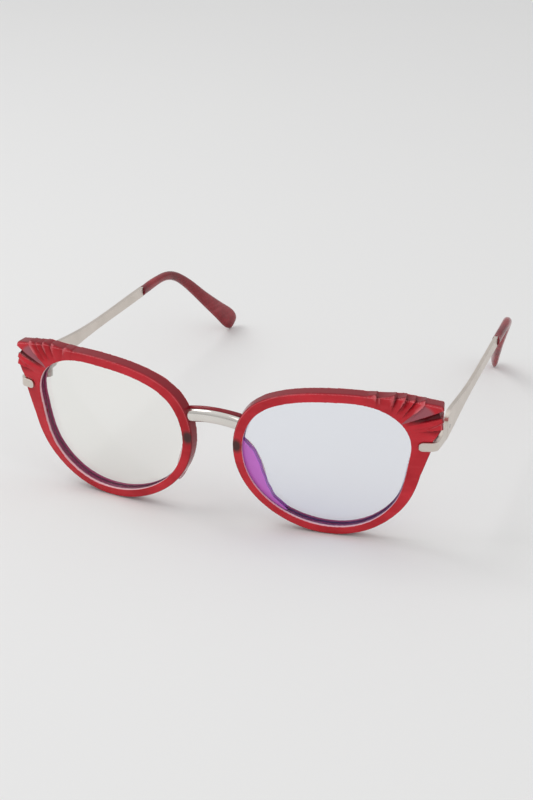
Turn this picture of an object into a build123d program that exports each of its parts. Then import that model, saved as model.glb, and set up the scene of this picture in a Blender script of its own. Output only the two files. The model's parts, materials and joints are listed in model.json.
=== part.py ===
from build123d import *
import os
from math import asin, cos, degrees, radians, sin

# Cat-eye eyeglasses, open, standing on the bottoms of the rims and the ends of the temple tips.
# Millimetres and degrees. The wearer looks along -Y, so the wearer's left side is at +X.
# The wearer's left half is modelled and mirrored about X = 0.

# Front
lens_width = 50.0          # lens opening, across
lens_height = 42.6         # lens opening, top to bottom
lens_spacing = 19.8        # between the two openings at the nose
front_wrap = 7.2           # each rim turned back about Z
front_tilt = 6.1           # top of the front leaning forward
front_radius = 163.0       # curvature of the front face
rim_depth = 4.0            # front to back

# Lens and its groove
lens_thickness = 1.8
lens_setback = 1.2         # lens front face behind the rim front face
lens_seat = 0.9            # how far the lens edge sits in the groove
lens_gap = 0.05            # clearance of the groove around the lens

# Wing at the upper outer corner
wing_overhang = 8.8        # tip beyond the outer side of the opening
wing_drop = 0.3            # tip's corner below the top of the opening
lobe_drop = 7.8            # wing's lower corner below its tip
pleat_depth = 0.6          # at the outer edge, running out to nothing at the opening
pleat_bearings = [86, 74, 62, 49, 28, 6]

# Bridge and the plastic bar behind it
bridge_height = 4.0
bridge_thickness = 2.2
bridge_rise = 1.5          # arch, ends to middle
bridge_bulge = 1.3         # how far the middle stands forward of the ends
bridge_level = 10.0        # above the middle of the opening
bridge_setback = 0.6       # its ends behind the front face of the rims
bridge_bite = 1.4          # how far the bar runs into the nasal side of each rim
saddle_thickness = 2.0
saddle_height = 3.4
bridge_pin_radius = 0.55
bridge_pin_length = 4.0

# Nose pads
pad_length = 20.0
pad_depth = 7.4
pad_thickness = 3.4
pad_drop = 6.0             # pad middle below the middle of the opening
pad_flare = 38.0           # rear edge turned outward
pad_inset = 1.6            # ridge's middle inside the opening's nasal edge
pad_lean = 20.0            # lower end turned outward

# Endpiece: a strip that starts as a tab on the front, turns the corner and runs back to the hinge
strip_thickness = 1.2
tab_height = 2.7
tab_length = 5.4           # from the rounded end to the corner
tab_inset = 0.9            # corner inside the wing's outermost point
tab_drop = 4.6             # middle of the tab below the wing's lower corner
tab_proud = 0.5            # outer face of the tab in front of the rim
corner_radius = 2.2
endpiece_height = 5.8      # at the hinge
rivet_radius = 0.6
rivet_head_radius = 1.1
rivet_head_height = 0.4
temple_rivet_behind = 3.2  # behind the hinge axis

# Hinge
hinge_behind = 12.0        # hinge axis behind the endpiece's corner
hinge_level = 34.45        # temple centreline above the table at the hinge
seam_gap = 0.15            # between endpiece and temple when open
barrel_radius = 1.5
barrel_standoff = 0.15     # barrel clear of the strips' inner faces
hinge_plate_thickness = 0.9
hinge_plate_length = 5.5
hinge_plate_height = 4.6
knuckle_height = 1.8       # each of the three knuckles
knuckle_gap = 0.1
screw_radius = 0.7
screw_clearance = 0.05
screw_head_radius = 1.15
screw_head_height = 0.6

# Temple, lengths measured back from the hinge
temple_splay = 1.6         # turning inward to the rear
temple_front_height = 8.2
temple_waist = 27.0        # where the strip has narrowed
temple_waist_height = 4.2
temple_rear_height = 3.4
temple_bare_length = 74.4  # to the mouth of the tip
bend_at = 95.6             # to the bend over the ear
tip_drop = 50.4            # bend to end
drop_angle = 38.2
tip_inward = 15.2
tip_arch = 1.3             # rise of the dropped part over a straight line
tip_stations = 14          # sections lofted along the tip
core_thickness = 0.8
core_height = 1.8
core_share = 0.55          # how far along the tip the core wire runs

# Tip sections: share along the path, height, thickness
tip_sections = [
    (0.0, 3.9, 2.6),
    (0.22, 3.1, 2.9),
    (0.42, 3.4, 3.1),
    (0.62, 4.4, 3.2),
    (0.80, 6.0, 3.1),
    (0.93, 7.5, 2.8),
    (1.0, 5.4, 1.8),
]
tip_foot = 2.1             # the paddle's lowest point below the end of its centreline

# Lens opening, as shares of half its width and height, and the rim's face width there
opening_shape = [
    (1.00, 0.26, 4.5),
    (0.915, 0.695, 4.4),
    (0.58, 0.953, 3.1),
    (0.12, 1.00, 2.8),
    (-0.44, 0.915, 2.8),
    (-0.824, 0.671, 3.1),
    (-1.00, 0.188, 3.0),
    (-0.912, -0.347, 2.7),
    (-0.54, -0.803, 2.7),
    (-0.04, -1.00, 2.9),
    (0.46, -0.906, 2.7),
    (0.824, -0.516, 3.2),
]

wing_reach = lens_width / 2 + wing_overhang      # from the middle of the opening
wing_rise = lens_height / 2 - wing_drop
wing_lobe = wing_rise - lobe_drop
tab_level = wing_lobe - tab_drop
opening_points = [(a * lens_width / 2, b * lens_height / 2) for a, b, face in opening_shape]
far = 14.0                 # half length of the cutting prisms


# Frames of reference

rim_middle_x = lens_spacing / 2 + lens_width / 2 * cos(radians(front_wrap))
bottom_face = opening_shape[9][2]
rim_middle_z = (lens_height / 2 + bottom_face) * cos(radians(front_tilt))
rim_place = Pos(0, 0, rim_middle_z) * Rot(X=front_tilt) * Pos(X=rim_middle_x) * Rot(Z=front_wrap)


def face_sag(across, up):
    """How far the curved front face lies behind the flat front plane."""
    return (across * across + up * up) / (2 * front_radius)


def rim_point(across, up, behind=0.0):
    """Place of a point of the rim's front face, or one behind it."""
    return (rim_place * Pos(across, face_sag(across, up) + behind, up)).position


def ball(setback):
    """Everything behind a curved surface that follows the front face."""
    return Pos(0, front_radius, 0) * Sphere(front_radius - setback)


def curved_plate(face, setback, thickness):
    """Plate with the outline of a face drawn in across and up, curved like the front."""
    prism = extrude(Plane.XZ * face, amount=far, both=True)
    return (prism & ball(setback)) - ball(setback + thickness)


# Rims and lenses

def moved_out(amounts):
    """Opening points moved outward, square to the opening, each by its own amount."""
    moved = []
    count = len(opening_points)
    for i, amount in enumerate(amounts):
        before = Vector(*opening_points[i - 1])
        after = Vector(*opening_points[(i + 1) % count])
        along = (after - before).normalized()
        out = Vector(along.Y, -along.X)
        if out.dot(Vector(*opening_points[i])) < 0:
            out = out * -1
        moved.append(Vector(*opening_points[i]) + out * amount)
    return moved


def opening_face(grow=0.0):
    return make_face(Spline(*moved_out([grow] * len(opening_points)), periodic=True))


def ring_face():
    return make_face(Spline(*moved_out([face for a, b, face in opening_shape]), periodic=True))


def wing_face():
    """Cat-eye wing, from the rim's top edge to its outer side."""
    start = opening_shape[3][2] + lens_height / 2
    side = lens_width / 2 + opening_shape[0][2]
    inside = lens_width / 2 - 3
    corners = Polyline(
        (0.18 * lens_width, start - 0.1),
        (0.44 * lens_width, start - 0.4),
        (wing_reach - 5.4, wing_rise + 1.3),
        (wing_reach, wing_rise),
        (wing_reach, wing_lobe),
        (wing_reach - 2.2, wing_lobe - 2.6),
        (side + 1.3, 0.31 * lens_height / 2),
        (side - 1.1, -0.02 * lens_height / 2),
        (inside + 4, 0),
        (inside, 0.60 * lens_height / 2),
        (0.16 * lens_width, start - 2.4),
        close=True,
    )
    return make_face(corners)


def pleat(bearing):
    """V-shaped cut that fans out from the opening's upper outer corner."""
    root = Vector(0.60 * lens_width / 2, 0.30 * lens_height / 2)
    way = Vector(cos(radians(bearing)), sin(radians(bearing)))
    first = root + way * (0.48 * lens_height / 2)
    last = root + way * (wing_reach * 0.62)
    low = Vector(first.X, face_sag(first.X, first.Y) + 0.05, first.Y)
    deep = Vector(last.X, face_sag(last.X, last.Y) + pleat_depth, last.Y)
    run = deep - low
    cut = Rot(X=45) * Box(run.length + 6, pleat_depth * 2.6, pleat_depth * 2.6)
    lift = pleat_depth * 2.6 / 2 ** 0.5
    along = run.normalized()
    place = Plane(origin=(low + deep) / 2, x_dir=run, z_dir=Vector(0, -1, 0) + along * along.Y)
    return place * Pos(Z=lift) * cut


def rim():
    blank = curved_plate(ring_face() + wing_face() - opening_face(), 0, rim_depth)
    groove_outline = opening_face(lens_seat + lens_gap)
    groove = curved_plate(groove_outline, lens_setback - lens_gap, lens_thickness + 2 * lens_gap)
    for bearing in pleat_bearings:
        blank = blank - pleat(bearing)
    return rim_place * (blank - groove)


def lens():
    return rim_place * curved_plate(opening_face(lens_seat), lens_setback, lens_thickness)


def nose_pad():
    """Half-lens-shaped ridge on the back of the rim's nasal side."""
    middle = Vector(-lens_width / 2 + pad_inset, 0, -pad_drop)
    ridge = scale(Sphere(1), by=(pad_thickness / 2, pad_depth / 2, pad_length / 2))
    behind = face_sag(middle.X, middle.Z) + rim_depth + pad_depth * 0.16
    ridge = Pos(middle.X, behind, middle.Z) * Rot(Y=-pad_lean) * Rot(Z=-pad_flare) * ridge
    return rim_place * (ridge & ball(rim_depth))


# Bridge

nasal_edge = rim_point(-lens_width / 2 - opening_shape[6][2], bridge_level)
bridge_end_x = nasal_edge.X + bridge_bite
bridge_end_y = nasal_edge.Y + bridge_thickness / 2 + bridge_setback


def arch(back, lift):
    """Centreline from rim to rim, arched up and forward."""
    ends_z = nasal_edge.Z + lift
    return ThreePointArc(
        (-bridge_end_x, bridge_end_y + back, ends_z),
        (0, bridge_end_y - bridge_bulge + back, ends_z + bridge_rise),
        (bridge_end_x, bridge_end_y + back, ends_z),
    )


def bar_along(line, thickness, height, rounding):
    start = Plane(origin=line @ 0, x_dir=(0, 0, 1), z_dir=line % 0)
    return sweep(start * RectangleRounded(height, thickness, rounding), path=line)


def bridge_pin(side):
    end = Pos(side * (nasal_edge.X - 0.4), bridge_end_y, nasal_edge.Z)
    return end * Rot(Y=90) * Cylinder(bridge_pin_radius, bridge_pin_length)


# Endpiece and hinge

tab_across = wing_reach - tab_inset - tab_length
tab_lie = degrees(tab_across / front_radius)       # the front face's own turn there
tab_root = rim_point(tab_across - 0.1, tab_level)
tab_corner = rim_point(wing_reach - tab_inset, tab_level)
hinge_y = tab_corner.Y + hinge_behind
strip_x = tab_corner.X - 0.9                       # strip centreline at the hinge
inner_x = strip_x - strip_thickness / 2
axis_x = inner_x - barrel_standoff - barrel_radius
temple_bottom = hinge_level - temple_front_height * 0.46
rim_rear = tab_corner.Y + rim_depth
hinge_middle = temple_bottom + endpiece_height / 2


def endpiece_plan():
    """Strip seen from above: tab, corner, run to the hinge."""
    shift = strip_thickness / 2 - tab_proud
    line = FilletPolyline(
        (tab_root.X, tab_root.Y + shift - 0.1),
        (tab_corner.X - strip_thickness / 2 + 0.1, tab_corner.Y + shift - 0.2),
        (strip_x, hinge_y - seam_gap / 2),
        radius=corner_radius,
    )
    return trace(line, line_width=strip_thickness)


def endpiece_side():
    """Strip seen from the side: level at the tab, deepening behind the rim."""
    low = tab_corner.Z - tab_height / 2
    high = tab_corner.Z + tab_height / 2
    seam = hinge_y - seam_gap / 2
    edge = Polyline(
        (-far, low),
        (tab_corner.Y + 1.0, low),
        (seam, temple_bottom),
        (seam, temple_bottom + endpiece_height),
        (rim_rear + 2.6, high + 0.9),
        (rim_rear + 0.6, high),
        (-far, high),
        close=True,
    )
    return extrude(Plane.YZ * make_face(edge), amount=2 * far, both=True)


def endpiece():
    body = extrude(endpiece_plan(), amount=60)
    strip_side = Pos(X=tab_corner.X) * endpiece_side()
    slot_length = 20 + tab_height
    slot_middle = Pos(tab_root.X + slot_length / 2, tab_corner.Z)
    round_end = Plane.XZ * slot_middle * SlotOverall(slot_length, tab_height)
    rest = Pos(tab_corner.X + 6, hinge_y + 3, hinge_level) * Box(18, 2 * hinge_y, 40)
    front = extrude(round_end, amount=far * 2, both=True)
    return (body & strip_side) & (front + rest)


def endpiece_rivet():
    """Holds the tab on the rim: shank from inside the tab to a low head behind the rim."""
    across = tab_across + 2.2
    inside_tab = strip_thickness / 2 - tab_proud
    foot = rim_place * Pos(across, face_sag(across, tab_level) + inside_tab, tab_level) * Rot(Z=tab_lie)
    shank_length = rim_depth - inside_tab
    bottom = (Align.CENTER, Align.CENTER, Align.MIN)
    shank = Cylinder(rivet_radius, shank_length, align=bottom)
    head = Pos(Z=shank_length + 0.15) * Cylinder(rivet_head_radius, rivet_head_height, align=bottom)
    neck = Cylinder(rivet_radius, shank_length + 0.2, align=bottom)
    return foot * Rot(X=-90) * (shank + neck + head)


def knuckle(index):
    """One of three stacked barrels, counted from the bottom."""
    pitch = knuckle_height + knuckle_gap
    centre = hinge_middle + (index - 1) * pitch
    return Pos(axis_x, hinge_y, centre) * Cylinder(barrel_radius, knuckle_height)


def knuckle_arm(index, direction):
    """Joins a barrel to its plate; direction is -1 to the front and 1 to the rear."""
    pitch = knuckle_height + knuckle_gap
    centre = hinge_middle + (index - 1) * pitch
    reach = barrel_radius + 1.2
    arm = Box(hinge_plate_thickness, reach, knuckle_height)
    return Pos(inner_x - hinge_plate_thickness / 2, hinge_y + direction * reach / 2, centre) * arm


def hinge_plate(direction):
    start = barrel_radius + 0.5
    length = hinge_plate_length
    plate = Box(hinge_plate_thickness, length, hinge_plate_height)
    middle_y = hinge_y + direction * (start + length / 2)
    return Pos(inner_x - hinge_plate_thickness / 2, middle_y, hinge_middle) * plate


def barrel_clearance(index):
    """Room around a knuckle that turns past the other half's parts."""
    pitch = knuckle_height + knuckle_gap
    centre = hinge_middle + (index - 1) * pitch
    room = Cylinder(barrel_radius + barrel_standoff, knuckle_height + 2 * knuckle_gap)
    return Pos(axis_x, hinge_y, centre) * room


def hinge_bore():
    return Pos(axis_x, hinge_y, hinge_middle) * Cylinder(screw_radius + screw_clearance, 12)


def hinge_block():
    arms = [knuckle(i) + (knuckle_arm(i, -1) - barrel_clearance(1)) for i in (0, 2)]
    plate = hinge_plate(-1)
    return (plate + arms[0] + arms[1]) - hinge_bore()


def hinge_leaf():
    return (hinge_plate(1) + knuckle(1) + knuckle_arm(1, 1)) - hinge_bore()


def hinge_screw():
    stack = 3 * knuckle_height + 2 * knuckle_gap
    shank = Cylinder(screw_radius, stack)
    head = Pos(Z=stack / 2 + screw_head_height / 2) * Cylinder(screw_head_radius, screw_head_height)
    slot = Pos(Z=stack / 2 + screw_head_height) * Box(2 * screw_head_radius, 0.3, 0.5)
    return Pos(axis_x, hinge_y, hinge_middle) * (shank + head - slot)


# Temple and tip

fall = (tip_drop * sin(radians(drop_angle)) + tip_foot - hinge_level) / bend_at
temple_pitch = degrees(asin(fall))                 # negative: down to the rear
temple_place = Pos(strip_x, hinge_y, hinge_level) * Rot(Z=temple_splay) * Rot(X=temple_pitch)


def temple_strip():
    """Flat strip: rounded front end, narrowing to the waist, then nearly even."""
    front = seam_gap / 2
    top = temple_front_height * 0.54
    bottom = -temple_front_height * 0.46
    waist = temple_waist_height / 2
    rear = temple_rear_height / 2
    upper = Spline(
        (front + 3.2, top),
        (temple_waist * 0.55, waist + 1.15),
        (temple_waist, waist),
        (temple_bare_length, rear),
        tangents=[(1, -0.06), (1, -0.01)],
    )
    lower = Spline(
        (temple_bare_length, -rear),
        (temple_waist, -waist),
        (front, bottom),
        tangents=[(-1, -0.01), (-1, -0.04)],
    )
    nose = [Line((front, bottom), (front, top - 2.6)), RadiusArc((front, top - 2.6), (front + 3.2, top), 3.4)]
    edge = Wire([upper, Line((temple_bare_length, rear), (temple_bare_length, -rear)), lower] + nose)
    return extrude(Plane.YZ * make_face(edge), amount=strip_thickness / 2, both=True)


def tip_path():
    """Centreline of the tip: straight on, over the bend, down and inward."""
    drop = drop_angle + temple_pitch
    way = Vector(
        -sin(radians(tip_inward)) * cos(radians(drop)),
        cos(radians(tip_inward)) * cos(radians(drop)),
        -sin(radians(drop)),
    )
    bend = Vector(0, bend_at, 0)
    end = bend + way * tip_drop
    return Spline(
        Vector(0, temple_bare_length, 0),
        Vector(0, bend_at - 9, 0),
        bend + way * 3 + Vector(0, 0, 0.3),
        bend + way * (tip_drop * 0.5) + Vector(0, 0, tip_arch),
        end,
        tangents=[(0, 1, 0), (way.X, way.Y, way.Z * 1.12)],
    )


def along_tip(share, shape):
    path = tip_path()
    ahead = path % share
    level = Vector(0, 0, 1).cross(ahead)
    return Plane(origin=path @ share, x_dir=level, z_dir=ahead) * shape


def temple():
    section = RectangleRounded(core_thickness, core_height, 0.2)
    core = loft([along_tip(core_share * i / 6, section) for i in range(7)])
    return temple_place * (temple_strip() + core)


def tip_section(share):
    """Oval of the tip at a share of its path, between the two listed sections around it."""
    index = max(i for i, section in enumerate(tip_sections[:-1]) if section[0] <= share)
    first, second = tip_sections[index:index + 2]
    part = (share - first[0]) / (second[0] - first[0])
    height = first[1] + (second[1] - first[1]) * part
    thickness = first[2] + (second[2] - first[2]) * part
    return along_tip(share, Ellipse(thickness / 2, height / 2))


def tip():
    return temple_place * loft([tip_section(i / tip_stations) for i in range(tip_stations + 1)])


def temple_rivet():
    """Flush rivet that holds the hinge leaf on the temple."""
    length = strip_thickness + hinge_plate_thickness
    shank = Rot(Y=90) * Cylinder(rivet_radius, length)
    middle = hinge_middle
    return Pos(strip_x + strip_thickness / 2 - length / 2, hinge_y + temple_rivet_behind, middle) * shank


# Put together

parts = {}
rim_left = rim()
lens_left = lens()
endpiece_rivet_left = endpiece_rivet()
endpiece_left = endpiece() - endpiece_rivet_left
rim_left = rim_left - endpiece_left
rim_left = rim_left - endpiece_rivet_left
pad_left = nose_pad() - rim_left

bar = bar_along(arch(0, 0), bridge_thickness, bridge_height, 1.0)
saddle = bar_along(arch(bridge_thickness / 2 + saddle_thickness / 2, 0.5), saddle_thickness, saddle_height, 0.8)
pins = [bridge_pin(-1), bridge_pin(1)]
rim_left = rim_left - pins[1]
rim_right = mirror(rim_left, about=Plane.YZ)
for piece in (rim_left, rim_right):
    bar = bar - piece
    saddle = saddle - piece
bar = bar - pins[0] - pins[1]
saddle = saddle - bar - pins[0] - pins[1]

temple_left = temple()
tip_left = tip() - temple_left
leaf = hinge_leaf()
rivet = temple_rivet()
temple_left = temple_left - rivet - leaf
leaf = leaf - rivet

left_half = {
    "rim": rim_left,
    "lens": lens_left,
    "nose_pad": pad_left,
    "endpiece": endpiece_left,
    "endpiece_rivet": endpiece_rivet_left,
    "hinge_block": hinge_block(),
    "hinge_screw": hinge_screw(),
    "hinge_leaf": leaf,
    "temple_rivet": rivet,
    "temple": temple_left,
    "tip": tip_left,
}
for name, piece in left_half.items():
    parts[name + "_left"] = piece
    parts[name + "_right"] = mirror(piece, about=Plane.YZ)
parts["bridge"] = bar
parts["saddle_bar"] = saddle
parts["bridge_pins"] = Compound(children=[pins[0], pins[1]])

# The origin is under the middle of the whole object, at the level it stands on.
boxes = [piece.bounding_box() for piece in parts.values()]
low = Vector(*[min(getattr(box.min, axis) for box in boxes) for axis in "XYZ"])
high = Vector(*[max(getattr(box.max, axis) for box in boxes) for axis in "XYZ"])
shift = Vector(-(low.X + high.X) / 2, -(low.Y + high.Y) / 2, -low.Z)

os.makedirs("parts", exist_ok=True)
for name, piece in parts.items():
    export_step(Pos(*shift) * piece, "parts/" + name + ".step")

print("size", high - low, "shift", shift)
print("hinge axis", axis_x + shift.X, hinge_y + shift.Y, hinge_middle + shift.Z, "temple pitch", temple_pitch)
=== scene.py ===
import bmesh
import bpy
import json
import numpy as np
from math import cos, pi, radians, sin
from mathutils import Matrix, Vector


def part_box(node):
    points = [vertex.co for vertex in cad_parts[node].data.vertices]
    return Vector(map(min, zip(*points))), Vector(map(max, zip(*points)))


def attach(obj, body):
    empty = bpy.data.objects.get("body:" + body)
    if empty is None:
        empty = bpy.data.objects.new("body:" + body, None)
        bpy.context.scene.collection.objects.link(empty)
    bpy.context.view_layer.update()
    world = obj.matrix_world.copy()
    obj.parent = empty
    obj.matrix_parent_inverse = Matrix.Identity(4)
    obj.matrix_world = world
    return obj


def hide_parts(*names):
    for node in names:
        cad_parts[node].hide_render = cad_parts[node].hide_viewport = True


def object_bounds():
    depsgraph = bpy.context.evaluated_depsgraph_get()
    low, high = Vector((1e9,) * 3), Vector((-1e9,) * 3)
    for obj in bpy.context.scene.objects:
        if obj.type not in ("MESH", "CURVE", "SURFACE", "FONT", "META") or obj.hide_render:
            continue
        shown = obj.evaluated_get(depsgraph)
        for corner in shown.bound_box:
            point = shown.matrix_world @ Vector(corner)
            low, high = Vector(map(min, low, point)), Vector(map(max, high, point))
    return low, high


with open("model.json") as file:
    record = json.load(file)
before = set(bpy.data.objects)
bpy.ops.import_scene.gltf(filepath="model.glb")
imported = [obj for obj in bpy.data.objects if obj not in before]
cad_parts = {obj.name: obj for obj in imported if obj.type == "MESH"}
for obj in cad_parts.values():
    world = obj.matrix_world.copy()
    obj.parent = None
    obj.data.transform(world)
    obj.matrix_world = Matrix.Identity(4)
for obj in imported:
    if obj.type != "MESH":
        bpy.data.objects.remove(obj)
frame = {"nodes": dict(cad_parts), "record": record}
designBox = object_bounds()
nodes = frame["nodes"]
mm = 0.001
weldGap = 0.002 * mm
smoothingFactor = 0.5
sides = ("left", "right")
print("frame loaded:", len(nodes), "nodes")


class Signal:                                   # an output socket that takes part in plain arithmetic
    def __init__(self, graph, socket):
        self.graph = graph
        self.socket = socket

    def maths(self, operation, first, second=0.0, clamp=False):
        settings = {"operation": operation, "use_clamp": clamp}
        return self.graph.node("ShaderNodeMath", settings, {0: first, 1: second})

    def __add__(self, other):
        return self.maths("ADD", self, other)

    def __radd__(self, other):
        return self.maths("ADD", other, self)

    def __sub__(self, other):
        return self.maths("SUBTRACT", self, other)

    def __rsub__(self, other):
        return self.maths("SUBTRACT", other, self)

    def __mul__(self, other):
        return self.maths("MULTIPLY", self, other)

    def __rmul__(self, other):
        return self.maths("MULTIPLY", other, self)

    def clamped(self):
        return self.maths("ADD", self, 0.0, clamp=True)


class Graph:                                    # a node tree, filled by one method
    def __init__(self, tree):
        self.tree = tree

    def node(self, kind, settings=None, values=None, output=0):
        made = self.tree.nodes.new(kind)
        for key, value in (settings or {}).items():
            if key == "stops":
                ramp = made.color_ramp
                while len(ramp.elements) < len(value):
                    ramp.elements.new(1.0)
                for element, (place, colour) in zip(ramp.elements, value):
                    element.position = place
                    element.color = (*colour, 1.0)
            elif key == "blend":
                made.color_ramp.interpolation = value
            else:
                setattr(made, key, value)
        for key, value in (values or {}).items():
            if isinstance(value, Signal):
                self.tree.links.new(value.socket, made.inputs[key])
            else:
                made.inputs[key].default_value = value
        return Signal(self, made.outputs[output]) if made.outputs else None


def newMaterial(name):
    material = bpy.data.materials.new(name)
    material.use_nodes = True
    material.node_tree.nodes.clear()
    return material, Graph(material.node_tree)


def closeMaterial(graph, surface):
    graph.node("ShaderNodeOutputMaterial", {}, {"Surface": surface})


def objectPlace(graph):
    return graph.node("ShaderNodeTexCoord", {}, {}, "Object")


def noise(graph, place, scale, detail=2.0, roughness=0.5):
    values = {"Vector": place, "Scale": scale, "Detail": detail, "Roughness": roughness}
    return graph.node("ShaderNodeTexNoise", {}, values)


def stretched(graph, place, scale):
    return graph.node("ShaderNodeMapping", {}, {"Vector": place, "Scale": scale})


def colourMix(graph, share, first, second):
    settings = {"data_type": "RGBA", "clamp_factor": True}
    return graph.node("ShaderNodeMix", settings, {0: share, 6: first, 7: second}, 2)


def bump(graph, height, distance, strength):
    values = {"Height": height, "Distance": distance, "Strength": strength}
    return graph.node("ShaderNodeBump", {}, values)


def attribute(graph, name):
    return graph.node("ShaderNodeAttribute", {"attribute_name": name}, {}, "Fac")


plastic = {                                     # what the three plastics share
    "cloudDetail": 3.0,
    "cloudRoughness": 0.55,
    "cloudFrom": 0.35,                          # noise below this gives the deep colour alone
    "cloudGain": 3.0,
    "streakStretch": (1.0, 1.0, 4.0),
    "streakFrom": 0.52,
    "wearScale": 900.0,
    "wearShare": 0.10,
    "ior": 1.49,
    "rippleScale": 260.0,
    "rippleHeight": 0.00012,
    "rippleStrength": 0.35,
    # vertex tones on the rim: painted shade, painted highlights, a painted pale sheen and a dark spot
    "tones": ("slope", "crease", "glint", "lip", "backLip", "pale", "patch"),
}


def acetate(name, look, toned=False):           # polished translucent plastic with cloudy depth
    material, graph = newMaterial(name)
    place = objectPlace(graph)
    cloud = noise(graph, place, look["cloudScale"], plastic["cloudDetail"], plastic["cloudRoughness"])
    streak = noise(graph, stretched(graph, place, plastic["streakStretch"]), look["streakScale"])
    cloudShare = (cloud - plastic["cloudFrom"]) * plastic["cloudGain"]
    streakShare = (streak - plastic["streakFrom"]) * look["streakShare"]
    body = colourMix(graph, cloudShare, look["deep"], look["light"])
    body = colourMix(graph, streakShare, body, look["streak"])
    # toned, the rim's painted shade, highlights and sheen and its dark spot come from vertex tones
    if toned:
        for tone in plastic["tones"]:
            body = colourMix(graph, attribute(graph, tone + "Tone"), body, look[tone])
    wear = noise(graph, place, plastic["wearScale"])
    ripple = noise(graph, place, plastic["rippleScale"], 1.0)
    surface = graph.node("ShaderNodeBsdfPrincipled", {}, {
        "Base Color": body,
        "Roughness": wear * plastic["wearShare"] + look["roughness"],
        "IOR": plastic["ior"],
        "Specular IOR Level": look["shine"],
        "Transmission Weight": look["clear"],
        "Normal": bump(graph, ripple, plastic["rippleHeight"], plastic["rippleStrength"]),
    })
    closeMaterial(graph, surface)
    return material


metal = {                                       # what the three metals share
    "grainDetail": 3.0,
    "grainRoughness": 0.6,
    "mottleScale": 160.0,
    "mottleShare": 0.7,
    "grainShare": 0.3,
    "grainHeight": 0.00003,
    "roughnessSpread": 0.16,
}


def brushedMetal(name, look):                   # fine grain, drawn out along the piece where it is stretched
    material, graph = newMaterial(name)
    place = objectPlace(graph)
    drawn = stretched(graph, place, look["grainStretch"])
    grain = noise(graph, drawn, look["grainScale"], metal["grainDetail"], metal["grainRoughness"])
    mottle = noise(graph, place, metal["mottleScale"])
    brightness = mottle * metal["mottleShare"] + grain * metal["grainShare"]
    surface = graph.node("ShaderNodeBsdfPrincipled", {}, {
        "Base Color": colourMix(graph, brightness, look["dark"], look["bright"]),
        "Metallic": 1.0,
        "Roughness": grain * metal["roughnessSpread"] + look["roughness"],
        "Normal": bump(graph, grain, metal["grainHeight"], look["grainDepth"]),
    })
    closeMaterial(graph, surface)
    return material


coating = {                                     # what the two lenses share; widths in millimetres
    "rampSpan": 30.0,                           # across the lens, squeezed into the ramp's 0 to 1
    "glowSharpness": 5.0,
    "lineInset": 0.12,
    "lineSharpness": 5.0,
    "cloudScale": 30.0,
    "roughness": 0.02,
    "roughnessSpread": 0.02,
    "reflectedMetalLoss": 0.9,                         # how much of the metal look a place of painted reflection loses
}


def glowShape(graph, edge):                     # painted violet reflection on the nasal side, and the painted line round it
    lowest = edge[0][0]
    height = edge[-1][0] - lowest
    span = coating["rampSpan"]
    up = (attribute(graph, "lensUp") - lowest) * (1.0 / height)
    stops = [((y - lowest) / height, [(x + span) / span] * 3) for y, x in edge]
    limit = graph.node("ShaderNodeValToRGB", {"stops": stops, "blend": "CARDINAL"}, {0: up})
    inside = limit * span - span - attribute(graph, "lensAcross")
    ends = graph.node("ShaderNodeMath", {"operation": "COMPARE"}, {0: up, 1: 0.5, 2: 0.5})
    fromLine = graph.node("ShaderNodeMath", {"operation": "ABSOLUTE"}, {0: inside - coating["lineInset"]})
    patch = (inside * coating["glowSharpness"]).clamped() * ends
    line = (1.0 - fromLine * coating["lineSharpness"]).clamped() * ends
    return patch, line


def coatedLens(name, look):                     # clear, mirror-coated, with painted violet reflections where the edge shows and, on the left lens, on the nasal side
    material, graph = newMaterial(name)
    edge = attribute(graph, "edgeTint")
    cloud = noise(graph, objectPlace(graph), coating["cloudScale"], 1.0)
    colour = look["mirror"]
    glow = 0.0
    if "glowEdge" in look:
        glow, line = glowShape(graph, look["glowEdge"])
        colour = colourMix(graph, glow, colour, look["glow"])
        colour = colourMix(graph, line, colour, look["glowLine"])
        glow = graph.node("ShaderNodeMath", {"operation": "MAXIMUM"}, {0: glow, 1: line})
    reflectedShare = graph.node("ShaderNodeMath", {"operation": "MAXIMUM"}, {0: edge, 1: glow})
    coat = graph.node("ShaderNodeBsdfPrincipled", {}, {
        "Base Color": colourMix(graph, edge, colour, look["edge"]),
        "Metallic": 1.0 - reflectedShare * coating["reflectedMetalLoss"],
        "Roughness": cloud * coating["roughnessSpread"] + coating["roughness"],
    })
    clear = graph.node("ShaderNodeBsdfTransparent", {}, {"Color": look["tint"]})
    mirror = graph.node("ShaderNodeFresnel", {}, {"IOR": look["mirrorIor"]})
    share = mirror * look["mirrorShare"] + edge * look["edgeShare"] + glow * look["glowShare"]
    closeMaterial(graph, graph.node("ShaderNodeMixShader", {}, {0: share.clamped(), 1: clear, 2: coat}))
    return material


redLook = {
    "deep": (0.50, 0.014, 0.024, 1.0),
    "light": (0.76, 0.032, 0.050, 1.0),
    "streak": (0.86, 0.07, 0.09, 1.0),
    # painted shade on the slopes
    "slope": (0.26, 0.012, 0.022, 1.0),
    # painted shade in the creases
    "crease": (0.14, 0.008, 0.014, 1.0),
    # painted highlight on the glints
    "glint": (0.90, 0.26, 0.29, 1.0),
    # painted highlight on the lip round the lens
    "lip": (0.86, 0.50, 0.56, 1.0),
    # painted shade on the back lip and in the groove
    "backLip": (0.34, 0.05, 0.15, 1.0),
    # painted pale sheen on one facet of the folds
    "pale": (0.42, 0.12, 0.15, 1.0),
    "patch": (0.085, 0.030, 0.028, 1.0),
    "shine": 0.22,
    "cloudScale": 70.0,
    "streakScale": 140.0,
    "streakShare": 0.8,
    "roughness": 0.07,
    "clear": 0.12,
}
darkRedLook = {
    "deep": (0.17, 0.010, 0.018, 1.0),
    "light": (0.38, 0.028, 0.038, 1.0),
    "streak": (0.50, 0.09, 0.11, 1.0),
    "cloudScale": 60.0,
    "streakScale": 120.0,
    "streakShare": 1.2,
    "roughness": 0.14,
    "clear": 0.15,
    "shine": 0.30,
}
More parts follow.
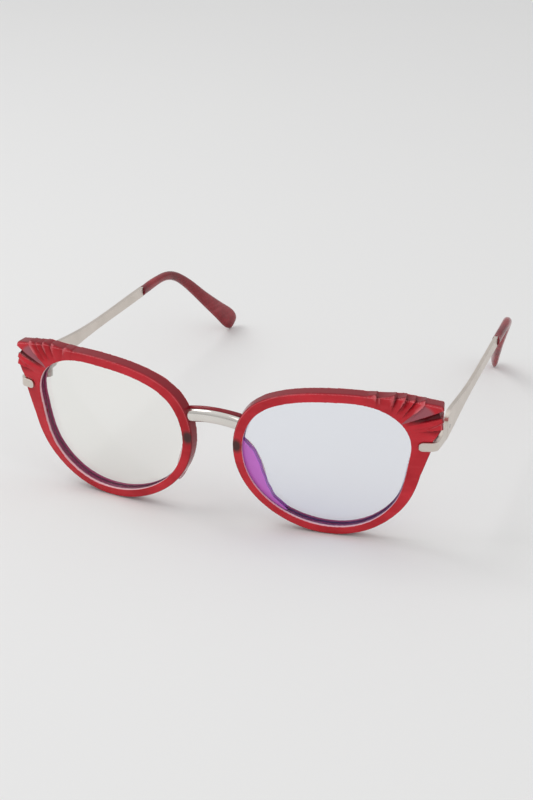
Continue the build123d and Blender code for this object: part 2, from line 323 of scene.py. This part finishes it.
padLook = {
    "deep": (0.86, 0.52, 0.56, 1.0),
    "light": (0.95, 0.72, 0.74, 1.0),
    "streak": (0.98, 0.85, 0.86, 1.0),
    "cloudScale": 80.0,
    "streakScale": 150.0,
    "streakShare": 1.0,
    "roughness": 0.14,
    "clear": 0.70,
    "shine": 0.50,
}
templeLook = {
    "dark": (0.60, 0.54, 0.48, 1.0),
    "bright": (0.80, 0.73, 0.67, 1.0),
    "grainStretch": (1.0, 0.05, 1.0),
    "grainScale": 2600.0,
    "grainDepth": 0.35,
    "roughness": 0.27,
}
bridgeLook = {
    "dark": (0.70, 0.67, 0.62, 1.0),
    "bright": (0.84, 0.81, 0.77, 1.0),
    "grainStretch": (0.06, 1.0, 1.0),
    "grainScale": 2200.0,
    "grainDepth": 0.06,
    "roughness": 0.05,
}
smallLook = {
    "dark": (0.42, 0.40, 0.38, 1.0),
    "bright": (0.58, 0.56, 0.53, 1.0),
    "grainStretch": (1.0, 1.0, 1.0),
    "grainScale": 1800.0,
    "grainDepth": 0.2,
    "roughness": 0.22,
}
lensLooks = {
    "left": {
        "tint": (0.966, 0.978, 0.998, 1.0),
        "mirror": (0.62, 0.66, 1.0, 1.0),
        # painted violet reflection on the nasal side, and its line
        "glow": (0.72, 0.20, 0.76, 1.0),
        "glowLine": (0.25, 0.10, 0.66, 1.0),
        "glowEdge": [                           # up and across, from the lower end
            (-17.6, -11.6),
            (-14.1, -15.2),
            (-10.3, -17.2),
            (-6.0, -18.7),
            (-1.3, -20.1),
            (2.3, -21.9),
            (5.2, -24.6),
        ],
        # painted reflection of the lens edge
        "edge": (0.12, 0.03, 0.22, 1.0),
        "mirrorIor": 1.45,
        "mirrorShare": 0.45,
        "edgeShare": 0.80,
        "glowShare": 0.80,
    },
    "right": {
        "tint": (0.996, 0.996, 0.984, 1.0),
        "mirror": (0.80, 0.82, 0.78, 1.0),
        # painted reflection of the lens edge
        "edge": (0.14, 0.03, 0.14, 1.0),
        "mirrorIor": 1.40,
        "mirrorShare": 0.12,
        "edgeShare": 0.80,
        "glowShare": 0.0,
    },
}
redAcetate = acetate("red_acetate", redLook, toned=True)
darkRedAcetate = acetate("dark_red_acetate", darkRedLook)
padAcetate = acetate("pad_acetate", padLook)
satinSilver = brushedMetal("satin_silver", templeLook)
polishedSilver = brushedMetal("polished_silver", bridgeLook)
smallSilver = brushedMetal("small_silver", smallLook)
print("finishes ready")


def bodyOf(node):
    return next(body for body, members in frame["record"]["behaviour"]["bodies"].items() if node in members)


def slotOf(node):
    return next(part["material_slot"] for part in frame["record"]["subparts"] if part["node"] == node)


def paint(piece, material):
    piece.data.materials.clear()
    piece.data.materials.append(material)


def finishPiece(piece, node, material):         # stands in for the node, on the node's body
    paint(piece, material)
    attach(piece, bodyOf(node))
    slotOf(node)
    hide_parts(node)


def newPiece(name, data):                       # data is a mesh, a light or a camera
    piece = bpy.data.objects.new(name, data)
    bpy.context.scene.collection.objects.link(piece)
    return piece


def mergedCopy(node, name):                     # the node's form with its loose triangles joined up
    mesh = nodes[node].data.copy()
    mesh.name = name
    work = bmesh.new()
    work.from_mesh(mesh)
    bmesh.ops.remove_doubles(work, verts=work.verts, dist=weldGap)
    work.to_mesh(mesh)
    work.free()
    return newPiece(name, mesh)


def baked(piece):                               # modifiers turned into plain mesh
    graph = bpy.context.evaluated_depsgraph_get()
    mesh = bpy.data.meshes.new_from_object(piece.evaluated_get(graph))
    piece.modifiers.clear()
    piece.data = mesh
    return piece


def addSmoothing(piece, passes):
    smooth = piece.modifiers.new("smooth", "SMOOTH")
    smooth.factor = smoothingFactor
    smooth.iterations = passes


def softened(piece, voxel, passes):             # even skin with rounded edges
    skin = piece.modifiers.new("skin", "REMESH")
    skin.mode = "VOXEL"
    skin.voxel_size = voxel
    skin.use_smooth_shade = True
    addSmoothing(piece, passes)
    return baked(piece)


def perPoint(mesh, what):
    flat = np.zeros(len(mesh.vertices) * 3, np.float32)
    mesh.vertices.foreach_get(what, flat)
    return flat.reshape(-1, 3).astype(float)


def points(mesh):
    return perPoint(mesh, "co")


def normals(mesh):
    return perPoint(mesh, "normal")


def setPoints(mesh, places):
    mesh.vertices.foreach_set("co", places.astype(np.float32).ravel())
    mesh.update()


def shadeSmooth(mesh):
    mesh.polygons.foreach_set("use_smooth", [True] * len(mesh.polygons))


front = {                                       # millimetres and degrees
    "wrap": 7.2,                                # outer side turned back
    "tilt": 6.1,
    "radius": 163.0,                            # of the dished lens
    "lensSetback": 1.2,                         # of the lens behind the rim's face
    "rimDepth": 4.0,
}


class RimFrame:                                 # across, behind and up of one rim, in millimetres
    def __init__(self, side):
        self.mirror = np.array([1.0 if side == "left" else -1.0, 1.0, 1.0])
        low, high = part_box("lens_" + side)
        self.middle = np.array((low + high) / 2) * self.mirror
        tilt = Matrix.Rotation(radians(front["tilt"]), 3, "X")
        wrap = Matrix.Rotation(radians(front["wrap"]), 3, "Z")
        self.turn = np.array(tilt @ wrap)
        local = self.inward(points(nodes["lens_" + side].data))
        self.skin = (local[:, 1] - sag(local[:, 0], local[:, 2])).min() - front["lensSetback"]

    def inward(self, places):                   # row frame to local millimetres
        return ((places * self.mirror - self.middle) @ self.turn) / mm

    def outward(self, local):
        return ((local * mm) @ self.turn.T + self.middle) * self.mirror

    def direction(self, vectors):
        return (vectors * self.mirror) @ self.turn


def sag(across, up):                            # how far the dish falls back from its middle
    return (across * across + up * up) / (2 * front["radius"])


lensShape = {                                   # millimetres
    "stations": 240,
    "window": pi / 60,                          # bearings this near count as one station
    "rimmedShare": 0.6975,                      # of the largest radius; points nearer the middle are no edge
    "seat": 0.9,                                # how far the lens goes into the rim's groove
    "edgeWidth": 0.14,                          # painted violet reflection of the lens edge, inside the rim's lip
    "edgeFade": 0.12,
    "edgeUnder": 0.50,                          # and under it
    "edgeUnderFade": 0.25,
    "thickness": 1.55,
    "bevel": 0.35,
}


def lensOutline(side, lie):                     # radius of the lens at each bearing
    local = lie.inward(points(nodes["lens_" + side].data))
    bearing = np.arctan2(local[:, 2], local[:, 0])
    radius = np.hypot(local[:, 0], local[:, 2])
    wanted = np.linspace(-pi, pi, lensShape["stations"], endpoint=False)
    rimmed = radius > lensShape["rimmedShare"] * radius.max()
    bearing, radius = bearing[rimmed], radius[rimmed]
    outline = []
    for angle in wanted:
        near = np.abs((bearing - angle + pi) % (2 * pi) - pi) < lensShape["window"]
        outline.append(radius[near].max() if near.any() else np.nan)
    outline = np.array(outline)
    known = ~np.isnan(outline)
    return wanted, np.interp(wanted, wanted[known], outline[known], period=2 * pi)


fan = {                                         # pleats in the wing, in the rim's across and up
    "voxel": 0.2,
    "passes": 4,
    "rounding": 24,                             # further passes away from the lens groove
    "folds": [                                  # inner end, outer end, height before and after the crease
        ((12.6, 21.6), (12.1, 25.6), 0.0, 0.30),
        ((14.9, 21.2), (14.8, 25.4), 0.75, -0.45),
        ((17.0, 20.8), (17.4, 25.2), 0.10, 0.10),
        ((19.3, 20.0), (20.4, 24.6), 0.80, -0.65),
        ((20.8, 19.0), (23.4, 23.8), 0.75, -0.75),
        ((22.5, 18.0), (26.0, 23.0), 0.60, -0.60),
        ((23.6, 17.2), (28.7, 22.3), 0.95, 0.15),
        ((24.0, 16.3), (32.4, 19.4), 0.40, -1.60),
        ((24.2, 15.2), (33.2, 17.4), -0.55, -0.05),
        ((25.6, 14.0), (33.4, 16.0), 0.55, 0.00),
        ((27.6, 13.4), (33.4, 14.0), 0.40, -0.45),
        ((29.0, 12.0), (34.0, 11.6), 0.0, 0.0),
    ],
    "lead": 0.12,                               # share of its length by which a fold starts early
    "growth": 1.6,                              # how quickly it gains height along its line
    "fullHeight": 1.15,
    "depthFade": 0.85,                          # height lost from the rim's face to its back
    "turnFrom": 0.55,                           # no height on skin that faces back more than this
    "turnFade": 3.0,
    "paleFacet": 6,                             # the wide face just above the deepest crease, painted with a pale sheen
    "paleSharpness": 6.0,
    "paleEnd": 0.95,
    "paleEndSharpness": 8.0,
    "crispWidth": 1.0,                          # skin this near the lens escapes the further passes
    "crispBlend": 0.5,
}


def foldRelief(across, up):                     # height of the folds over the plain face, and where the pale sheen is painted
    folds = fan["folds"]
    height = np.zeros_like(across)
    pale = np.zeros_like(across)
    lines = []
    for inner, outer, before, after in folds:
        start = np.array(inner)
        run = np.array(outer) - start
        length = np.hypot(*run)
        way = run / length
        # offset is positive past the line, clockwise
        offset = (across - start[0]) * way[1] - (up - start[1]) * way[0]
        along = ((across - start[0]) * way[0] + (up - start[1]) * way[1]) / length
        lines.append((offset, along, before, after))
    for index, (first, second) in enumerate(zip(lines, lines[1:])):
        offsetA, alongA, _, afterA = first
        offsetB, alongB, beforeB, _ = second
        inside = (offsetA >= 0) & (offsetB < 0)
        share = offsetA / np.maximum(offsetA - offsetB, 1e-6)
        along = alongA + (alongB - alongA) * share
        rise = np.clip((along + fan["lead"]) * fan["growth"], 0.0, fan["fullHeight"])
        level = afterA + (beforeB - afterA) * share
        height = np.where(inside, level * rise, height)
        if index == fan["paleFacet"]:
            middle = 1.0 - np.abs(share - 0.5) * 2.0
            sideFade = np.clip(middle * fan["paleSharpness"], 0.0, 1.0)
            endFade = np.clip((fan["paleEnd"] - along) * fan["paleEndSharpness"], 0.0, 1.0)
            pale = np.where(inside, sideFade * endFade, pale)
    return height, pale


def writeTone(mesh, name, values):
    layer = mesh.attributes.new(name, "FLOAT", "POINT")
    layer.data.foreach_set("value", np.clip(values, 0.0, 1.0).astype(np.float32))


# the rim's painted shade, highlights and sheen, and its dark spot
# facing is 1 square to the front and 0 edge-on, depth goes from 0 to 1 through the rim
tones = {
    "lipWidth": 0.35,
    "lipFacing": 0.6,
    "lipDepth": 0.42,                           # front lip before this, back lip after
    "grooveWidth": 0.93,
    "grooveDepths": (0.5, 0.85),
    "plainWidth": 0.5,                          # no painted slope shade or shoulder glint this near the lens
    "slopeFacing": 0.90,
    "slopeRange": 0.35,
    "slopeDepth": 0.9,
    "shadeFrom": 0.55,                          # painted shade: slopes that face down are darker
    "shadeGain": 0.6,
    "shadeLeast": 0.5,
    "glintFacing": 0.87,
    "glintRange": 0.07,
    "glintUp": 0.05,
    "glintShare": 0.6,
    "ridgeHeight": 0.50,                        # folds higher than this get a painted glint too
    "ridgeGain": 1.8,
    "ridgeFacing": 0.3,
    "creaseGain": 1.4,
    "paleFacing": 0.4,
    "patchPlace": (-26.9, 3.3),                 # dark spot on the nasal side: across, up
    "patchRadius": 2.9,
    "patchNarrowing": 1.3,
    "patchFade": 1.4,
    "patchFacing": 0.3,
    "patchShare": 0.9,
}


def toneRim(mesh, across, up, depth, fromLip, facing, relief, pale):
    facingFront = -facing[:, 1]
    plain = fromLip <= tones["plainWidth"]
    # painted highlight on the front lip's wall
    wall = (fromLip < tones["lipWidth"]) * (facingFront < tones["lipFacing"])
    writeTone(mesh, "lipTone", wall * (depth < tones["lipDepth"]))
    # painted shade on the back lip's wall and in the groove
    grooveFrom, grooveTo = tones["grooveDepths"]
    groove = (fromLip < tones["grooveWidth"]) * (depth > grooveFrom) * (depth < grooveTo)
    writeTone(mesh, "backLipTone", wall * (depth >= tones["lipDepth"]) + groove)

    # painted shade on the slopes, darker where they face down
    shade = np.clip(tones["shadeFrom"] - facing[:, 2], 0.0, 1.0) * tones["shadeGain"] + tones["shadeLeast"]
    slope = (tones["slopeFacing"] - facingFront) / tones["slopeRange"] * shade
    writeTone(mesh, "slopeTone", slope * ~plain * (depth < tones["slopeDepth"]))

    # painted highlights on the shoulder and on the high folds
    shoulder = 1.0 - np.abs(facingFront - tones["glintFacing"]) / tones["glintRange"]
    shoulder = shoulder * (facing[:, 2] > tones["glintUp"]) * ~plain * tones["glintShare"]
    ridge = (relief - tones["ridgeHeight"]) * tones["ridgeGain"] * (facingFront > tones["ridgeFacing"])
    writeTone(mesh, "glintTone", np.maximum(shoulder, ridge))
    # painted shade in the creases
    writeTone(mesh, "creaseTone", -relief * tones["creaseGain"])
    # painted pale sheen on one facet
    writeTone(mesh, "paleTone", pale * (facingFront > tones["paleFacing"]))

    patchAcross, patchUp = tones["patchPlace"]
    fromPatch = np.hypot((across - patchAcross) * tones["patchNarrowing"], up - patchUp)
    patch = (tones["patchRadius"] - fromPatch) / tones["patchFade"] * tones["patchShare"]
    writeTone(mesh, "patchTone", patch * (facingFront > tones["patchFacing"]))


def carvedRim(side):
    node = "rim_" + side
    piece = softened(mergedCopy(node, "moulded_rim_" + side), fan["voxel"] * mm, fan["passes"])
    lie = RimFrame(side)
    bearings, outline = lensOutline(side, lie)
    crisp = lie.inward(points(piece.data))
    addSmoothing(piece, fan["rounding"])
    mesh = baked(piece).data
    local = lie.inward(points(mesh))
    bearing = np.arctan2(crisp[:, 2], crisp[:, 0])
    opening = np.interp(bearing, bearings, outline, period=2 * pi) - lensShape["seat"]
    fromLip = np.hypot(crisp[:, 0], crisp[:, 2]) - opening
    keep = np.clip((fan["crispWidth"] - fromLip) / fan["crispBlend"], 0.0, 1.0)[:, None]
    local = crisp * keep + local * (1.0 - keep)
    facing = lie.direction(normals(mesh))
    across, up = local[:, 0], local[:, 2]
    depth = (local[:, 1] - sag(across, up) - lie.skin) / front["rimDepth"]
    relief, pale = foldRelief(across, up)
    relief = relief * np.clip(1.0 - fan["depthFade"] * depth, 0.0, 1.0)
    relief = relief * np.clip((fan["turnFrom"] - facing[:, 1]) * fan["turnFade"], 0.0, 1.0)
    toneRim(mesh, across, up, depth, fromLip, facing, relief, pale)
    setPoints(mesh, lie.outward(local + facing * relief[:, None]))
    shadeSmooth(mesh)
    finishPiece(piece, node, redAcetate)
    print("rim", side, len(mesh.polygons), "faces")


for side in sides:
    carvedRim(side)


def dishedLens(side):
    lie = RimFrame(side)
    bearings, outline = lensOutline(side, lie)
    wideRings = [i / 30 for i in range(27)]
    closeRings = [0.885 + 0.015 * i for i in range(8)]   # near the edge, where its colour changes
    shares = wideRings + closeRings + [1.0]
    shell = bmesh.new()
    edgeLayer = shell.verts.layers.float.new("edgeTint")
    acrossLayer = shell.verts.layers.float.new("lensAcross")
    upLayer = shell.verts.layers.float.new("lensUp")

    def ring(share, behind, inset=0.0):
        made = []
        for bearing, radius in zip(bearings, outline):
            reach = share * (radius - inset)
            across, up = reach * cos(bearing), reach * sin(bearing)
            local = np.array([[across, sag(across, up) + lie.skin + behind, up]])
            vert = shell.verts.new(lie.outward(local)[0])
            # painted violet reflection of the lens edge along the rim's lip
            inLip = radius - lensShape["seat"] - reach
            inner = np.clip((lensShape["edgeWidth"] - inLip) / lensShape["edgeFade"], 0.0, 1.0)
            outer = np.clip((inLip + lensShape["edgeUnder"]) / lensShape["edgeUnderFade"], 0.0, 1.0)
            vert[edgeLayer] = float(inner * outer)
            vert[acrossLayer] = float(across)
            vert[upLayer] = float(up)
            made.append(vert)
            if share == 0.0:                    # the middle is one point
                break
        return made

    def join(inner, outer):
        count = len(outer)
        for i in range(count):
            following = (i + 1) % count
            if len(inner) == 1:
                corners = [inner[0], outer[i], outer[following]]
            else:
                corners = [inner[i], outer[i], outer[following], inner[following]]
            shell.faces.new(corners)

    bevel = lensShape["bevel"]
    foremost = front["lensSetback"]
    rearmost = foremost + lensShape["thickness"]
    face = [ring(share, foremost, bevel) for share in shares]
    back = [ring(share, rearmost, bevel) for share in shares]
    edge = [ring(1.0, foremost + bevel), ring(1.0, rearmost - bevel)]
    rings = face + edge + back[::-1]            # from the face's middle round to the back's
    for first, second in zip(rings, rings[1:]):
        if len(second) == 1:
            first, second = second, first
        join(first, second)
    bmesh.ops.recalc_face_normals(shell, faces=shell.faces)
    mesh = bpy.data.meshes.new("lens_blank_" + side)
    shell.to_mesh(mesh)
    shell.free()
    shadeSmooth(mesh)
    piece = newPiece("dished_lens_" + side, mesh)
    finishPiece(piece, "lens_" + side, coatedLens("coated_lens_" + side, lensLooks[side]))
    print("lens", side, len(mesh.polygons), "faces")


for side in sides:
    dishedLens(side)


bars = {                                        # bridge and the plastic bar behind it, in millimetres
    "bridge": {"height": 4.0, "thickness": 2.2, "bulge": 1.3, "rise": 1.5, "reach": -0.35},
    "saddle_bar": {"height": 3.4, "thickness": 2.0, "bulge": 1.3, "rise": 1.5, "reach": 0.2},
}


barStations = 96
barSides = 64
barWeldGap = 0.001 * mm


def barTree():                                  # a rounded bar along an arch
    tree = bpy.data.node_groups.new("arch_bar", "GeometryNodeTree")
    sockets = tree.interface
    for name in ("Start", "Middle", "End"):
        sockets.new_socket(name, in_out="INPUT", socket_type="NodeSocketVector")
    for name in ("Height", "Thickness"):
        sockets.new_socket(name, in_out="INPUT", socket_type="NodeSocketFloat")
    sockets.new_socket("Finish", in_out="INPUT", socket_type="NodeSocketMaterial")
    sockets.new_socket("Geometry", in_out="OUTPUT", socket_type="NodeSocketGeometry")
    graph = Graph(tree)
    given = tree.nodes.new("NodeGroupInput")

    def asked(name):
        return Signal(graph, given.outputs[name])

    line = graph.node("GeometryNodeCurveArc", {"mode": "POINTS"}, {
        "Resolution": barStations,
        "Start": asked("Start"),
        "Middle": asked("Middle"),
        "End": asked("End"),
    })
    line = graph.node("GeometryNodeSetCurveNormal", {"mode": "Z_UP"}, {"Curve": line})
    section = graph.node("GeometryNodeCurvePrimitiveCircle", {"mode": "RADIUS"}, {
        "Resolution": barSides,
        "Radius": 0.5,
    })
    size = graph.node("ShaderNodeCombineXYZ", {}, {"X": asked("Thickness"), "Y": asked("Height"), "Z": 1.0})
    section = graph.node("GeometryNodeTransform", {}, {"Geometry": section, "Scale": size})
    bar = graph.node("GeometryNodeCurveToMesh", {}, {
        "Curve": line,
        "Profile Curve": section,
        "Fill Caps": True,
    })
    bar = graph.node("GeometryNodeRealizeInstances", {}, {"Geometry": bar})
    bar = graph.node("GeometryNodeSetMaterial", {}, {"Geometry": bar, "Material": asked("Finish")})
    out = tree.nodes.new("NodeGroupOutput")
    tree.links.new(bar.socket, out.inputs["Geometry"])
    return tree


def setInput(modifier, name, value):
    sockets = modifier.node_group.interface.items_tree
    wanted = next(socket for socket in sockets if socket.name == name and socket.in_out == "INPUT")
    modifier[wanted.identifier] = value


archBar = barTree()


def archedBar(node, material):
    look = bars[node]
    low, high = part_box(node)
    middleY = low.y + look["thickness"] / 2 * mm
    middleZ = high.z - look["height"] / 2 * mm
    endY = middleY + look["bulge"] * mm
    endZ = middleZ - look["rise"] * mm
    endX = high.x + look["reach"] * mm
    piece = newPiece("arched_" + node, bpy.data.meshes.new("arched_" + node))
    rig = piece.modifiers.new("arch", "NODES")
    rig.node_group = archBar
    setInput(rig, "Start", (-endX, endY, endZ))
    setInput(rig, "Middle", (0.0, middleY, middleZ))
    setInput(rig, "End", (endX, endY, endZ))
    setInput(rig, "Height", look["height"] * mm)
    setInput(rig, "Thickness", look["thickness"] * mm)
    setInput(rig, "Finish", material)
    baked(piece)
    work = bmesh.new()
    work.from_mesh(piece.data)
    bmesh.ops.remove_doubles(work, verts=work.verts, dist=barWeldGap)
    bmesh.ops.recalc_face_normals(work, faces=work.faces)
    work.to_mesh(piece.data)
    work.free()
    shadeSmooth(piece.data)
    finishPiece(piece, node, material)
    print(node, len(piece.data.polygons), "faces")


archedBar("bridge", polishedSilver)
archedBar("saddle_bar", darkRedAcetate)


copies = {                                      # rounded copies of the design's forms
    "tip": {"voxel": 0.22, "passes": 3, "finish": darkRedAcetate},
    "nose_pad": {"voxel": 0.2, "passes": 4, "finish": padAcetate},
    "endpiece": {"voxel": 0.12, "passes": 4, "finish": satinSilver},
}
for kind, look in copies.items():
    for side in sides:
        node = kind + "_" + side
        piece = softened(mergedCopy(node, "moulded_" + node), look["voxel"] * mm, look["passes"])
        shadeSmooth(piece.data)
        finishPiece(piece, node, look["finish"])
        print(node, len(piece.data.polygons), "faces")

kept = {                                        # shown as they come from the design
    "temple": satinSilver,
    "hinge_block": smallSilver,
    "hinge_leaf": smallSilver,
    "hinge_screw": smallSilver,
    "temple_rivet": smallSilver,
    "endpiece_rivet": smallSilver,
}
for kind, material in kept.items():
    for side in sides:
        paint(nodes[kind + "_" + side], material)
paint(nodes["bridge_pins"], smallSilver)
print("pieces ready")

stage = {
    "floorSize": 8.0,
    "floorColour": (0.80, 0.80, 0.80, 1.0),
    "floorCloud": (0.81, 0.81, 0.805, 1.0),
    "floorCloudScale": 6.0,
    "floorRoughness": 0.6,
    "floorShine": 0.2,
    "worldTop": (1.0, 1.0, 1.0),
    "worldSide": (0.62, 0.62, 0.62),
    "worldTopFrom": 0.75,                       # height in the sky where the top colour is full
    "worldStrength": 0.80,
}


def makeFloor():
    size = stage["floorSize"] / 2
    mesh = bpy.data.meshes.new("floor")
    corners = [(-size, -size, 0.0), (size, -size, 0.0), (size, size, 0.0), (-size, size, 0.0)]
    mesh.from_pydata(corners, [], [(0, 1, 2, 3)])
    floor = newPiece("floor", mesh)
    material, graph = newMaterial("pale_floor")
    cloud = noise(graph, objectPlace(graph), stage["floorCloudScale"])
    closeMaterial(graph, graph.node("ShaderNodeBsdfPrincipled", {}, {
        "Base Color": colourMix(graph, cloud, stage["floorColour"], stage["floorCloud"]),
        "Roughness": stage["floorRoughness"],
        "Specular IOR Level": stage["floorShine"],
    }))
    mesh.materials.append(material)


def makeWorld():
    world = bpy.data.worlds.new("studio")
    world.use_nodes = True
    world.node_tree.nodes.clear()
    graph = Graph(world.node_tree)
    way = graph.node("ShaderNodeTexCoord", {}, {}, "Generated")
    height = graph.node("ShaderNodeSeparateXYZ", {}, {0: way}, 2)
    stops = [(0.0, stage["worldSide"]), (stage["worldTopFrom"], stage["worldTop"])]
    colour = graph.node("ShaderNodeValToRGB", {"stops": stops}, {0: height})
    shade = graph.node("ShaderNodeBackground", {}, {"Color": colour, "Strength": stage["worldStrength"]})
    graph.node("ShaderNodeOutputWorld", {}, {"Surface": shade})
    bpy.context.scene.world = world


softboxes = {
    "key": {"place": (-0.60, -0.10, 0.85), "aim": (0.0, -0.02, 0.02), "size": (0.7, 0.5), "power": 2.9},
    "fill": {"place": (0.60, -0.55, 0.70), "aim": (0.0, -0.03, 0.02), "size": (0.6, 0.6), "power": 0.8},
}


def softbox(name, look):
    light = bpy.data.lights.new(name, "AREA")
    light.shape = "RECTANGLE"
    light.size, light.size_y = look["size"]
    light.energy = look["power"]
    lamp = newPiece(name, light)
    lamp.location = look["place"]
    way = Vector(look["aim"]) - Vector(look["place"])
    lamp.rotation_euler = way.to_track_quat("-Z", "Y").to_euler()


camera = {                                      # degrees, metres, and the lens in millimetres
    "azimuth": 19.59,
    "elevation": 23.95,
    "roll": 0.76,
    "distance": 0.5352,
    "lens": 77.76,
    "aim": (0.0069, 0.02995, 0.02995),          # from the middle, the foremost point and the floor
}


def makeCamera():
    low, high = designBox
    middle = (low + high) / 2
    aim = Vector((middle.x, low.y, low.z)) + Vector(camera["aim"])
    turn, lift, roll = (radians(camera[key]) for key in ("azimuth", "elevation", "roll"))
    back = Vector((sin(turn) * cos(lift), -cos(turn) * cos(lift), sin(lift)))
    right = Vector((cos(turn), sin(turn), 0.0))
    up = back.cross(right)
    rolledRight = cos(roll) * right + sin(roll) * up
    rolledUp = -sin(roll) * right + cos(roll) * up
    data = bpy.data.cameras.new("view")
    data.lens = camera["lens"]
    data.clip_start = 0.01
    data.clip_end = 50.0
    holder = newPiece("view", data)
    columns = Matrix((rolledRight, rolledUp, back)).transposed().to_4x4()
    holder.matrix_world = Matrix.Translation(aim + back * camera["distance"]) @ columns
    bpy.context.scene.camera = holder


makeFloor()
makeWorld()
for name, look in softboxes.items():
    softbox(name, look)
makeCamera()
bpy.context.scene.view_settings.view_transform = "Standard"
print("stage ready")
